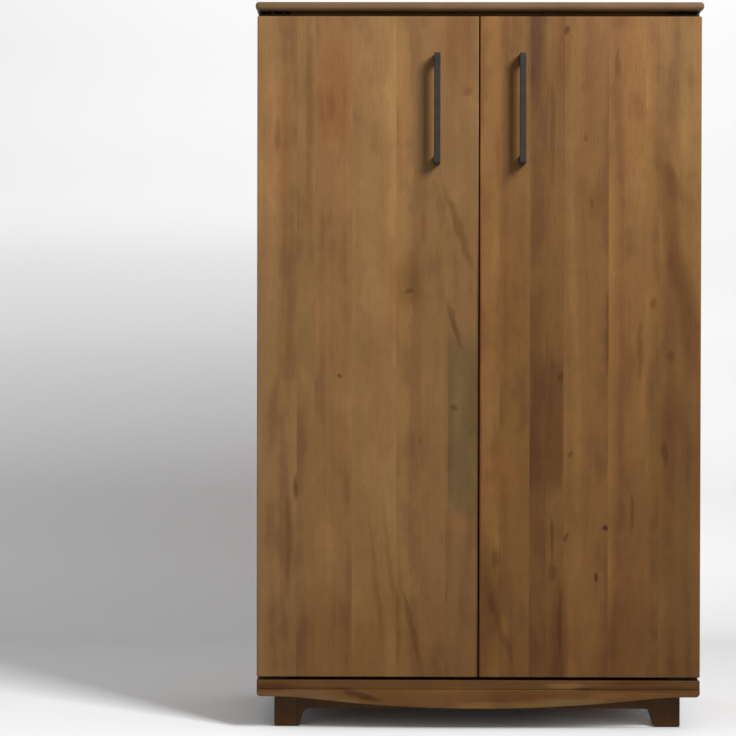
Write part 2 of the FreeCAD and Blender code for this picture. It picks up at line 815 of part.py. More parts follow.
RAIL_X = ("foot_ear - frame_half", "frame_half - foot_ear")
RAIL_Z = ("rail_low", "frame_top")
rail_blank = board("front_rail_blank", RAIL_X, ("frame_front", "frame_front + rail_thick"), RAIL_Z)
front_rail = cut("front_rail", rail_blank, [all_dowels])
rail_blank = board("rear_rail_blank", RAIL_X, ("frame_back - rail_thick", "frame_back"), RAIL_Z)
rear_rail = cut("rear_rail", rail_blank, [all_dowels])
rail_blank = board("side_rail_blank", ("-frame_half", "rail_thick - frame_half"),
                   ("frame_front + foot_ear", "frame_back - foot_ear"), RAIL_Z)
left_rail = cut("left_rail", rail_blank, [all_dowels])
right_rail = mirrored("right_rail", left_rail)

pads = []
for sign in SIGNS:
    inner, outer = "frame_half - foot_width + pad_inset", "frame_half - pad_inset"
    pad_x = (f"-({outer})", f"-({inner})") if sign else (inner, outer)
    for pad_y in (("frame_front + pad_inset", "frame_front + foot_width - pad_inset"),
                  ("frame_back - foot_width + pad_inset", "frame_back - pad_inset")):
        pads.append(board("felt_pad", pad_x, pad_y, ("0", "pad_thick")))
felt_pads = group("felt_pads", pads)

# Catches under the front stretcher

def catch_strip(name, length, height):
    """A bar of the catch, up against the stretcher."""
    strip_x = (f"-catch_offset - {length} / 2", f"-catch_offset + {length} / 2")
    strip_y = ("catch_front", "catch_front + catch_depth")
    return board(name, strip_x, strip_y, (f"stretcher_low - {height}", "stretcher_low"))


catch_shape = joined("catch_shape", [
    catch_strip("catch_plate_strip", "catch_length", "catch_plate"),
    catch_strip("catch_magnet", "catch_body", "catch_height"),
])
left_catch = cut("left_catch", catch_shape, [all_small_screws])
right_catch = mirrored("right_catch", left_catch)

# Hinge leaves

def leaf_blank(name, z):
    """A leaf with round ends, one of them round the pivot."""
    low, high = z
    thick = f"({high}) - ({low})"
    plate_y = ("pivot_y - leaf_width / 2", "pivot_y + leaf_width / 2")
    return joined(name, [
        board(name + "_plate", ("-pivot_x", "-pivot_x + leaf_length"), plate_y, z),
        rod(name + "_eye", "leaf_width / 2", thick, "z", "-pivot_x", "pivot_y", low),
        rod(name + "_tip", "leaf_width / 2", thick, "z", "-pivot_x + leaf_length", "pivot_y", low),
    ])


FRAME_LEAVES = {
    "lower": ("bottom_top", "bottom_top + leaf_thick"),
    "upper": ("top_under - leaf_thick", "top_under"),
}
DOOR_LEAVES = {
    "lower": ("door_low - leaf_thick", "door_low"),
    "upper": ("door_high", "door_high + leaf_thick"),
}
frame_leaves = {}
for level, z in FRAME_LEAVES.items():
    blank = leaf_blank(f"{level}_frame_leaf_blank", z)
    frame_leaves[level] = cut(f"left_{level}_frame_leaf", blank, [hinge_pins, all_small_screws])
    mirrored(f"right_{level}_frame_leaf", frame_leaves[level])

# Left door and what is fixed to it

leaf_screws = []
for along in ("leaf_screw_first", "leaf_screw_second"):
    x = f"-pivot_x + {along}"
    leaf_screws.append(screw("leaf_screw", "small_screw", "z", x, "pivot_y", "door_low - leaf_thick"))
    leaf_screws.append(screw("leaf_screw", "small_screw", "-z", x, "pivot_y", "door_high + leaf_thick"))
STRIKE_Z = "stretcher_low - (catch_height + catch_plate) / 2"
leaf_screws.append(screw("strike_screw", "small_screw", "-y", "-catch_offset",
                         "door_back + strike_thick", STRIKE_Z))
left_screw_stock = group("left_small_screw_stock", leaf_screws)
left_small_screws = crossed("left_small_screws", left_screw_stock)

for level, z in DOOR_LEAVES.items():
    blank = leaf_blank(f"{level}_door_leaf_blank", z)
    bore = rod("leaf_bore", "pin_diameter / 2 + pin_clearance", "leaf_thick", "z",
               "-pivot_x", "pivot_y", z[0])
    leaf = cut(f"left_{level}_door_leaf", blank, [bore, left_screw_stock])
    mirrored(f"right_{level}_door_leaf", leaf)

batten_screws = []
for level in ("batten_lower", "batten_upper"):
    for along in ("-1", "0", "1"):
        x = f"-batten_middle + {along} * (batten_length / 2 - batten_screw_inset)"
        batten_screws.append(screw("batten_screw", "wood_screw", "-y", x, "door_back + batten_thick",
                                   f"{level} + batten_height / 2"))
left_batten_stock = group("left_batten_screw_stock", batten_screws)
left_batten_screws = crossed("left_batten_screws", left_batten_stock)

BATTEN_X = ("-batten_middle - batten_length / 2", "-batten_middle + batten_length / 2")
for label, level in (("left_lower_batten", "batten_lower"), ("left_upper_batten", "batten_upper")):
    blank = board(f"{label}_blank", BATTEN_X, ("door_back", "door_back + batten_thick"),
                  (level, f"{level} + batten_height"))
    batten = cut(label, blank, [left_batten_stock])
    mirrored(label.replace("left", "right"), batten)

handle_screws = []
handle_holes = []
for z in ("handle_lower_leg", "handle_upper_leg"):
    shank = rod("handle_screw_shank", "handle_screw / 2", "door_thick + handle_screw_grip", "y",
                "-handle_x", "front - handle_screw_grip", z)
    cap = rod("handle_screw_cap_disc", "handle_screw_head / 2", "handle_screw_cap", "y",
              "-handle_x", "door_back", z)
    whole = joined("handle_screw_whole", [shank, cap])
    recesses[whole.Name] = recess("-y", "-handle_x", "door_back + handle_screw_cap", z)
    handle_screws.append(whole)
    handle_holes.append(rod("handle_hole", "handle_screw / 2 + handle_screw_play", "door_thick", "y",
                            "-handle_x", "front", z))
left_handle_stock = group("left_handle_screw_stock", handle_screws)
left_handle_screws = crossed("left_handle_screws", left_handle_stock)

pin_holes = [
    rod("lower_pin_hole", "pin_diameter / 2 + pin_room", "pin_engage + pin_room", "z",
        "-pivot_x", "pivot_y", "door_low"),
    rod("upper_pin_hole", "pin_diameter / 2 + pin_room", "pin_engage + pin_room", "-z",
        "-pivot_x", "pivot_y", "door_high"),
]
door_blank = rounded_slab("door_blank", "door_width", "door_thick", "door_height",
                          "min(door_round; 0.45 * door_thick)")
place(door_blank, "-door_edge", "front", "door_low")
left_door_panel = cut("left_door_panel", door_blank,
                      [*pin_holes, *handle_holes, left_screw_stock, left_batten_stock])

strike_blank = board("strike_blank",
                     ("-catch_offset - strike_width / 2", "-catch_offset + strike_width / 2"),
                     ("door_back", "door_back + strike_thick"),
                     (f"{STRIKE_Z} - strike_height / 2", f"{STRIKE_Z} + strike_height / 2"))
left_strike_plate = cut("left_strike_plate", strike_blank, [left_screw_stock])

# Pull: a square bar on two legs

def handle_blank():
    """The pull as it shows from the side, raised to its width and rounded."""
    body = new_body("handle_blank")
    sketch = sketch_on(body, "YZ_Plane")
    reach, leg, thick = size("handle_reach"), size("handle_leg"), size("handle_thick")
    length = size("handle_length")
    corners = [(0, 0), (reach, 0), (reach, leg), (thick, leg), (thick, length - leg),
               (reach, length - leg), (reach, length), (0, length)]
    spans = [
        ("DistanceX", 0, 1, "handle_reach"),
        ("DistanceY", 1, 2, "handle_leg"),
        ("DistanceX", 0, 3, "handle_thick"),
        ("DistanceY", 0, 7, "handle_length"),
        ("DistanceY", 5, 6, "handle_leg"),
        ("DistanceX", 0, 6, "handle_reach"),
    ]
    outline(sketch, corners, spans)
    raised = pad(body, sketch, "handle_width")

    def outer_corner(edge):
        return runs_along(edge, AXIS_X) and abs(edge.CenterOfMass.y) < 0.01

    def face_edge(edge):
        flat = abs(edge.BoundBox.XLength) < 0.01
        return flat and not all(abs(vertex.Point.y - reach) < 0.01 for vertex in edge.Vertexes)

    corner_radius = "min(handle_corner; 0.8 * handle_thick; 0.8 * handle_leg)"
    cornered = rounded(body, raised, corner_radius, outer_corner)
    rounded(body, cornered, "min(handle_round; 0.3 * handle_width; 0.3 * handle_thick)", face_edge)
    return body


pull = handle_blank()
place(pull, "-handle_x - handle_width / 2", "front - handle_reach", "handle_low")
left_handle = cut("left_handle", pull, [left_handle_stock])

for piece in (left_small_screws, left_batten_screws, left_handle_screws, left_door_panel,
              left_strike_plate, left_handle):
    mirrored(piece.Name.replace("left", "right"), piece)

# Every finished piece, in the order that it is put together

NODES = [
    "top_panel", "bottom_panel", "left_side", "right_side", "back_panel",
    "front_stretcher", "rear_stretcher", "wall_rail",
    "serving_shelf", "upper_shelf", "lower_shelf", "shelf_pins",
    "front_cradle", "rear_cradle",
    *[f"stemware_rail_{index + 1}" for index in range(STEM_RAILS)],
    "front_apron", "front_rail", "rear_rail", "left_rail", "right_rail",
    "left_front_foot", "left_rear_foot", "right_front_foot", "right_rear_foot", "felt_pads",
    "dowels", "wood_screws", "small_screws",
    "left_lower_frame_leaf", "left_upper_frame_leaf", "right_lower_frame_leaf", "right_upper_frame_leaf",
    "hinge_pins", "hinge_washers", "left_catch", "right_catch",
]
DOOR_NODES = ["door_panel", "lower_batten", "upper_batten", "batten_screws", "lower_door_leaf",
              "upper_door_leaf", "small_screws", "handle", "handle_screws", "strike_plate"]
NODES += [f"{hand}_{piece}" for hand in ("left", "right") for piece in DOOR_NODES]

doc.recompute()
for item in doc.Objects:
    if "Invalid" in item.State or "Error" in item.State:
        raise RuntimeError(f"{item.Name} did not build: {item.State}")

os.makedirs("parts", exist_ok=True)
for node in NODES:
    piece = doc.getObject(node)
    piece.Label = node
    if piece.Shape.isNull() or not piece.Shape.isValid() or not piece.Shape.Solids:
        raise RuntimeError(f"{node} has no valid solid")
    piece.Shape.exportStep(f"parts/{node}.step")
print(len(NODES), "pieces written")
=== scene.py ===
import math

import bpy
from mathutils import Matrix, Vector


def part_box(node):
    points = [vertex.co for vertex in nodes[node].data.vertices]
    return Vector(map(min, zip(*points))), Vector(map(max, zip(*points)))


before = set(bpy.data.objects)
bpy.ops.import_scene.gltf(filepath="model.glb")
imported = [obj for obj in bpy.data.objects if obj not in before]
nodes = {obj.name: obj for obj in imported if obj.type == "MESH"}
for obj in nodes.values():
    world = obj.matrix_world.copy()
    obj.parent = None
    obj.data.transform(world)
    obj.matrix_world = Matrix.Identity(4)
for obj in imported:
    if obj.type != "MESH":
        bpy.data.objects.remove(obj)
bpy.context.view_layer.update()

MM = 0.001
HANDS = ("left", "right")
LEVELS = ("lower", "upper")


class Net:
    """A node tree written as calls, most of which give the socket that they make."""

    def __init__(self, tree):
        self.tree = tree

    def add(self, kind, inputs=(), **settings):
        """A new node with its settings, and its inputs by name or number."""
        node = self.tree.nodes.new("ShaderNode" + kind)
        for name, value in settings.items():
            setattr(node, name, value)
        for key, value in dict(inputs).items():
            self.feed(node.inputs[key], value)
        return node

    def feed(self, socket, value):
        """Links a socket to another one, or sets its value."""
        if isinstance(value, bpy.types.NodeSocket):
            self.tree.links.new(value, socket)
        else:
            socket.default_value = value

    def calc(self, operation, *values):
        """One step of arithmetic."""
        return self.add("Math", enumerate(values), operation=operation).outputs[0]

    def ease(self, value, start, end, low=0.0, high=1.0):
        """Goes smoothly from low to high while the value goes from start to end."""
        ranges = {"Value": value, "From Min": start, "From Max": end, "To Min": low, "To Max": high}
        return self.add("MapRange", ranges, interpolation_type="SMOOTHSTEP").outputs[0]

    def mix(self, amount, first, second, blend="MIX"):
        """One colour laid over another."""
        inputs = {0: amount, 6: first, 7: second}
        return self.add("Mix", inputs, data_type="RGBA", blend_type=blend).outputs[2]

    def vector(self, x, y, z):
        """A point from its three numbers."""
        return self.add("CombineXYZ", enumerate((x, y, z))).outputs[0]

    def noise(self, point, detail=2.0, roughness=0.5):
        """Soft noise around nought that changes over one unit of the point."""
        inputs = {"Vector": point, "Scale": 1.0, "Detail": detail, "Roughness": roughness}
        return self.calc("SUBTRACT", self.add("TexNoise", inputs).outputs[0], 0.5)

    def grain(self, place, per_metre, detail=2.0, roughness=0.5):
        """Noise that is alike in all directions, with so many changes in a metre."""
        point = self.add("VectorMath", {0: place, 3: per_metre}, operation="SCALE").outputs[0]
        return self.noise(point, detail, roughness)

    def ramp(self, value, stops, steps=False):
        """A colour for each value."""
        node = self.add("ValToRGB", {0: value})
        colours = node.color_ramp
        colours.interpolation = "CONSTANT" if steps else "EASE"
        while len(colours.elements) < len(stops):
            colours.elements.new(1.0)
        for element, (position, colour) in zip(colours.elements, stops):
            element.position = position
            element.color = (*colour, 1.0)
        return node.outputs[0]


def group_net(name, inputs, outputs):
    """An empty node group, with its inputs and a way to set its outputs."""
    tree = bpy.data.node_groups.new(name, "ShaderNodeTree")
    for label, kind in inputs.items():
        tree.interface.new_socket(label, in_out="INPUT", socket_type="NodeSocket" + kind)
    for label, kind in outputs.items():
        tree.interface.new_socket(label, in_out="OUTPUT", socket_type="NodeSocket" + kind)
    given = tree.nodes.new("NodeGroupInput").outputs
    result = tree.nodes.new("NodeGroupOutput").inputs
    return Net(tree), given, result


# Timber: long fibres, growth bands that drift along the board, and soft clouds of tone

TIMBER_TONES = [
    (0.10, (0.077, 0.031, 0.011)),
    (0.36, (0.166, 0.078, 0.026)),
    (0.50, (0.216, 0.109, 0.035)),
    (0.66, (0.262, 0.138, 0.046)),
    (0.90, (0.335, 0.193, 0.076)),
]
RED_HUE = (1.03, 0.93, 0.90, 1.0)
GREEN_HUE = (0.98, 1.03, 0.95, 1.0)
PORE_TINT = (0.55, 0.47, 0.42, 1.0)

# Changes in a metre across the fibres and along them, and how far each stave is shifted
DRIFT = (6.0, 1.1, 9.0)
STREAKS = (240.0, 2.6, 3.0)
CLOUDS = (22.0, 7.0, 5.0)
MOTTLE = (44.0, 34.0, 7.0)
FIBRES = (1500.0, 24.0, 1.0)
HUES = (16.0, 2.2, 13.0)
PORES = (1100.0, 34.0, 2.0)

# Growth bands: changes in a metre, and how many metres they drift
BANDS = 46.0
BROAD_BANDS = 17.0
BROAD_LAYER = 0.35
BAND_DRIFT = 0.085

# Where in their noise hues and pores start or show fully, and how strongly
HUE_REACH = 0.22
HUE_SHARE = 0.5
PORE_START = 0.14
PORE_FULL = 0.24
PORE_SHARE = 0.16

# Surface: roughness, what pores and streaks add to it, how deep a pore is, gleam, and relief in metres
WOOD_ROUGHNESS = 0.47
PORE_ROUGHNESS = 0.12
STREAK_ROUGHNESS = 0.14
PORE_DEPTH = -0.8
WOOD_GLEAM = 0.2
WOOD_RELIEF = 0.00025


def timber_group():
    """Colour, height and roughness of wood from a place in the board."""
    inputs = {label: "Float" for label in ("Across", "Along", "Through", "Phase")}
    net, given, result = group_net("timber", inputs, {"Color": "Color", "Height": "Float", "Rough": "Float"})
    across, along, through, phase = (given[label] for label in inputs)

    def stretched(scale):
        """A point that changes quickly across the fibres and slowly along them."""
        side, length, shift = scale
        depth = net.calc("MULTIPLY_ADD", phase, shift, net.calc("MULTIPLY", through, side))
        return net.vector(net.calc("MULTIPLY", across, side), net.calc("MULTIPLY", along, length), depth)

    drift = net.noise(stretched(DRIFT), 1.5)
    line = net.calc("MULTIPLY_ADD", drift, BAND_DRIFT, across)
    bands = net.noise(net.vector(net.calc("MULTIPLY", line, BANDS), phase, through), 1.0)
    broad = net.noise(net.vector(net.calc("MULTIPLY", line, BROAD_BANDS), BROAD_LAYER, phase), 1.0)
    streaks = net.noise(stretched(STREAKS), 2.5, 0.6)
    clouds = net.noise(stretched(CLOUDS), 2.0)
    mottle = net.noise(stretched(MOTTLE), 1.5)
    fibres = net.noise(stretched(FIBRES), 2.0)
    figure = 0.5
    shares = ((bands, 0.24), (broad, 0.36), (streaks, 0.06), (clouds, 0.46), (mottle, 0.13), (fibres, 0.03))
    for part, share in shares:
        figure = net.calc("MULTIPLY_ADD", part, share, figure)
    colour = net.ramp(figure, TIMBER_TONES)
    hue = net.noise(stretched(HUES), 1.0)
    colour = net.mix(net.ease(hue, 0.0, HUE_REACH, 0.0, HUE_SHARE), colour, RED_HUE, "MULTIPLY")
    colour = net.mix(net.ease(hue, 0.0, -HUE_REACH, 0.0, HUE_SHARE), colour, GREEN_HUE, "MULTIPLY")
    pores = net.ease(net.noise(stretched(PORES), 1.0), PORE_START, PORE_FULL)
    colour = net.mix(net.calc("MULTIPLY", pores, PORE_SHARE), colour, PORE_TINT, "MULTIPLY")
    height = net.calc("MULTIPLY_ADD", pores, PORE_DEPTH, net.calc("ADD", fibres, streaks))
    rough = net.calc("MULTIPLY_ADD", pores, PORE_ROUGHNESS, WOOD_ROUGHNESS)
    rough = net.calc("MULTIPLY_ADD", streaks, STREAK_ROUGHNESS, rough)
    net.feed(result["Color"], colour)
    net.feed(result["Height"], height)
    net.feed(result["Rough"], rough)
    return net.tree


# Where the edge of a straight mark starts to fade, as a share of its half width and half height
FADE_SIDES = 0.93
FADE_ENDS = 0.6


def mark_group(name, straight):
    """One mark laid over a colour, of the wood's own tone or of painted light and shade: an oval with soft
    edges, or a straight-sided band with soft ends.
    """
    inputs = {"Color": "Color", "Across": "Float", "Along": "Float", "Middle": "Float", "Height": "Float",
              "Half width": "Float", "Half height": "Float", "Slope": "Float", "Tint": "Color"}
    net, given, result = group_net(name, inputs, {"Color": "Color"})
    rise = net.calc("SUBTRACT", given["Along"], given["Height"])
    reach = net.calc("SUBTRACT", given["Across"], given["Middle"])
    reach = net.calc("SUBTRACT", reach, net.calc("MULTIPLY", rise, given["Slope"]))
    rise = net.calc("DIVIDE", rise, given["Half height"])
    reach = net.calc("DIVIDE", reach, given["Half width"])
    if straight:
        sides = net.ease(net.calc("ABSOLUTE", reach), 1.0, FADE_SIDES)
        ends = net.ease(net.calc("ABSOLUTE", rise), 1.0, FADE_ENDS)
        cover = net.calc("MULTIPLY", sides, ends)
    else:
        squares = net.calc("MULTIPLY_ADD", rise, rise, net.calc("MULTIPLY", reach, reach))
        cover = net.ease(squares, 1.0, 0.0)
    net.feed(result["Color"], net.mix(cover, given["Color"], given["Tint"], "MULTIPLY"))
    return net.tree


TIMBER = timber_group()
OVAL = mark_group("oval_mark", False)
BAND = mark_group("band_mark", True)


def new_material(name):
    """A material with its shader, and the place on the object in metres."""
    material = bpy.data.materials.new(name)
    material.use_nodes = True
    net = Net(material.node_tree)
    shader = net.tree.nodes["Principled BSDF"]
    place = net.add("TexCoord").outputs["Object"]
    return material, net, shader, place


def use_group(net, tree, inputs):
    """One use of a node group."""
    node = net.tree.nodes.new("ShaderNodeGroup")
    node.node_tree = tree
    for key, value in inputs.items():
        net.feed(node.inputs[key], value)
    return node


def bump(net, shader, height, distance):
    """Gives a shader its surface relief, in metres."""
    relief = net.add("Bump", {"Height": height, "Strength": 1.0, "Distance": distance})
    net.feed(shader.inputs["Normal"], relief.outputs[0])


def board_place(net, place, axes):
    """A place on the object as three distances, such as those across, along and through a board."""
    parts = net.add("SeparateXYZ", {0: place}).outputs
    return [parts["xyz".index(axis)] for axis in axes]


def finish_wood(net, shader, colour, timber):
    """Satin wood with the relief of its fibres."""
    net.feed(shader.inputs["Base Color"], colour)
    net.feed(shader.inputs["Roughness"], timber.outputs["Rough"])
    shader.inputs["Specular IOR Level"].default_value = WOOD_GLEAM
    bump(net, shader, timber.outputs["Height"], WOOD_RELIEF)


# Marks in the wood and marks of painted light and shade, in millimetres from the cabinet's middle and the
# doors' lower edge


def lay_marks(net, colour, marks, across, near, level):
    """Lays marks over a colour: bands by the straight distance across, ovals by the swaying one."""
    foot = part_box("left_door_panel")[0][2]
    for kind, middle, height, half_width, half_height, slope, shade in marks:
        oval = kind == "oval"
        mark = use_group(net, OVAL if oval else BAND, {
            "Color": colour,
            "Across": near if oval else across,
            "Along": level,
            "Middle": middle * MM,
            "Height": foot + height * MM,
            "Half width": half_width * MM,
            "Half height": half_height * MM,
            "Slope": slope,
            "Tint": (*shade, 1.0),
        })
        colour = mark.outputs["Color"]
    return colour


def sway(net, x, y, z, often, far):
    """Places that sway, from how often in a metre they do so across and up, and how many metres far."""
    point = net.vector(net.calc("MULTIPLY", x, often[0]), net.calc("MULTIPLY", z, often[1]), y)
    amount = net.noise(point, 2.0)
    return [net.calc("MULTIPLY_ADD", amount, reach, part) for part, reach in zip((x, z), far)]


# Boards: glued up from staves of one width in metres, each with its own tone and figure

STAVE = 0.075
EDGE_STAVE = 0.09
RACK_STAVE = 0.115
PLY_STAVE = 0.16
WIDE_STAVE = 0.2
STAVE_START = 0.37
STAVE_SHIFT = 5.0
STAVE_TONES = [(0.0, (0.86, 0.84, 0.83)), (0.5, (1.0, 1.0, 1.0)), (1.0, (1.10, 1.11, 1.11))]
BOARD_SWAYS = (22.0, 90.0)
BOARD_SWAY = (0.030, 0.005)


def wood(name, axes, seed, stave=STAVE, tint=(1.0, 1.0, 1.0), marks=()):
    """Wood of a board, from its axes across, along and through, with tones picked by a fixed seed."""
    material, net, shader, place = new_material(name)
    u, v, w = board_place(net, place, axes)
    count = net.calc("FLOOR", net.calc("MULTIPLY_ADD", u, 1.0 / stave, STAVE_START + seed))
    pick = net.add("TexWhiteNoise", {"W": net.calc("ADD", count, seed)}, noise_dimensions="1D").outputs[0]
    phase = net.calc("MULTIPLY_ADD", pick, STAVE_SHIFT, seed)
    timber = use_group(net, TIMBER, {"Across": u, "Along": v, "Through": w, "Phase": phase})
    colour = net.mix(1.0, timber.outputs["Color"], net.ramp(pick, STAVE_TONES), "MULTIPLY")
    colour = net.mix(1.0, colour, (*tint, 1.0), "MULTIPLY")
    if marks:
        x, y, z = board_place(net, place, "xyz")
        near, level = sway(net, x, y, z, BOARD_SWAYS, BOARD_SWAY)
        colour = lay_marks(net, colour, marks, x, near, level)
    finish_wood(net, shader, colour, timber)
    return material


# Each mark: kind, middle, height, half width, half height, slope, tint.
# These run on from the bottom board into the apron. Most are wood figure; the lighter ones along the
# edges are painted highlights, and one dark band is painted shade.
BASE_MARKS_AND_PAINTED_LIGHT = [
    ("oval", -404, -20, 70, 9, 0, (0.62, 0.50, 0.28)),
    ("oval", -312, -22, 90, 5, 0, (0.82, 0.78, 0.85)),
    # Painted highlights along the rounded lower edge of the apron
    ("oval", -345, -35, 110, 14, 0, (1.20, 1.44, 2.30)),
    ("oval", -300, -44, 60, 9, 0, (1.18, 1.22, 1.40)),
    ("oval", -253, -48, 34, 7, 0, (1.16, 1.58, 2.50)),
    ("oval", -228, -35, 26, 17, -2.6, (0.54, 0.47, 0.34)),
    ("oval", -216, -40, 18, 5, 0, (0.80, 0.58, 0.36)),
    ("oval", -48, -43, 100, 28, 0, (1.20, 1.20, 1.56)),
    # Painted highlights along the apron's lower edge
    ("oval", 44, -58, 110, 14, 0, (1.46, 1.74, 2.00)),
    ("oval", 180, -50, 90, 12, 0, (1.32, 1.80, 2.80)),
    ("oval", 252, -38, 50, 13, 0, (1.32, 1.42, 1.80)),
    ("oval", 91, -32, 90, 11, 0, (0.94, 0.85, 0.74)),
    # A painted highlight on the rounded top edge of the bottom board
    ("oval", 168, -16, 54, 6.5, 0, (1.60, 1.90, 2.90)),
    ("oval", 206, -23, 24, 4.5, 0, (0.52, 0.44, 0.34)),
    # A band of painted shade in the groove between the bottom board and the apron
    ("oval", 322, -22, 150, 8, 0, (0.64, 0.52, 0.28)),
    ("oval", 300, -11, 80, 6, 0, (0.75, 0.58, 0.36)),
]

# Doors: their own staves and marks, in the same millimetres

# Each stave: where it starts, its tone and its hue
LEFT_STAVES = [
    (-428, 1.09, (1.00, 1.03, 1.09)),
    (-352, 1.00, (0.99, 1.00, 1.00)),
    (-317, 1.03, (1.02, 0.98, 0.98)),
    (-245, 1.08, (1.00, 1.01, 1.01)),
    (-160, 1.15, (0.99, 1.01, 0.99)),
    (-112, 0.98, (1.00, 0.99, 0.98)),
    (-66, 0.92, (1.01, 0.99, 1.00)),
]
RIGHT_STAVES = [
    (1, 1.07, (1.03, 0.99, 0.95)),
    (39, 0.87, (1.03, 0.99, 0.92)),
    (97, 0.76, (1.02, 0.95, 0.86)),
    (128, 0.78, (1.00, 0.96, 0.88)),
    (163, 0.93, (1.02, 0.98, 0.98)),
    (248, 1.00, (1.02, 0.98, 0.98)),
    (321, 1.02, (1.01, 1.00, 0.98)),
    (346, 1.02, (1.00, 1.02, 1.01)),
]
LEFT_TINT = (1.01, 1.02, 1.07)
RIGHT_TINT = (0.94, 0.89, 0.77)

# The same seven things for each mark
LEFT_MARKS = [
    # Soft light and dark areas
    ("oval", -370, 960, 15, 480, 0, (0.90, 0.84, 0.71)),
    ("oval", -412, 990, 28, 300, 0, (1.08, 1.08, 1.06)),
    ("oval", -34, 1215, 46, 130, 0, (0.86, 0.78, 0.66)),
    ("oval", -182, 1017, 56, 420, 0, (1.08, 1.09, 1.07)),
    ("oval", -222, 1228, 26, 95, 0, (1.10, 1.14, 1.16)),
    ("oval", -280, 1123, 40, 150, 0, (0.99, 0.85, 0.72)),
    ("oval", -135, 762, 36, 75, 0, (0.75, 0.69, 0.56)),
    ("band", -31, 490, 29, 205, 0, (0.68, 0.775, 0.79)),
    ("oval", -27, 297, 34, 24, 0, (1.15, 1.06, 1.05)),
    ("oval", -20, 150, 26, 110, 0, (0.84, 0.80, 0.80)),
    # Painted shade: the door darkens towards its lower edge
    ("oval", -214, -20, 420, 240, 0, (0.83, 0.76, 0.65)),
    # Streaks along the grain
    ("oval", -327, 1075, 10, 300, 0, (0.82, 0.76, 0.62)),
    ("oval", -388, 1048, 8, 40, 0, (0.75, 0.70, 0.57)),
    ("oval", -40, 868, 11, 110, -0.33, (0.73, 0.66, 0.54)),
    ("oval", -48, 680, 8, 58, -0.29, (0.63, 0.59, 0.49)),
    ("oval", -352, 368, 5.5, 32, 0, (0.53, 0.47, 0.38)),
    ("oval", -367, 257, 8, 150, 0, (0.80, 0.73, 0.61)),
    ("oval", -196, 168, 7, 180, -0.10, (0.88, 0.80, 0.67)),
    ("oval", -168, 198, 7, 170, -0.12, (0.88, 0.80, 0.67)),
    ("oval", -127, 89, 9, 120, -0.23, (0.75, 0.68, 0.57)),
    # Knots
    ("oval", -21, 1129, 12, 14, 0, (0.80, 0.70, 0.58)),
    ("oval", -135, 744, 11, 9, 0, (0.66, 0.54, 0.44)),
    ("oval", -269, 581, 7, 7, 0, (0.58, 0.44, 0.32)),
    ("oval", -48, 519, 12, 8, 0, (0.66, 0.56, 0.43)),
    ("oval", -112, 458, 7, 9, 0, (0.82, 0.75, 0.68)),
]
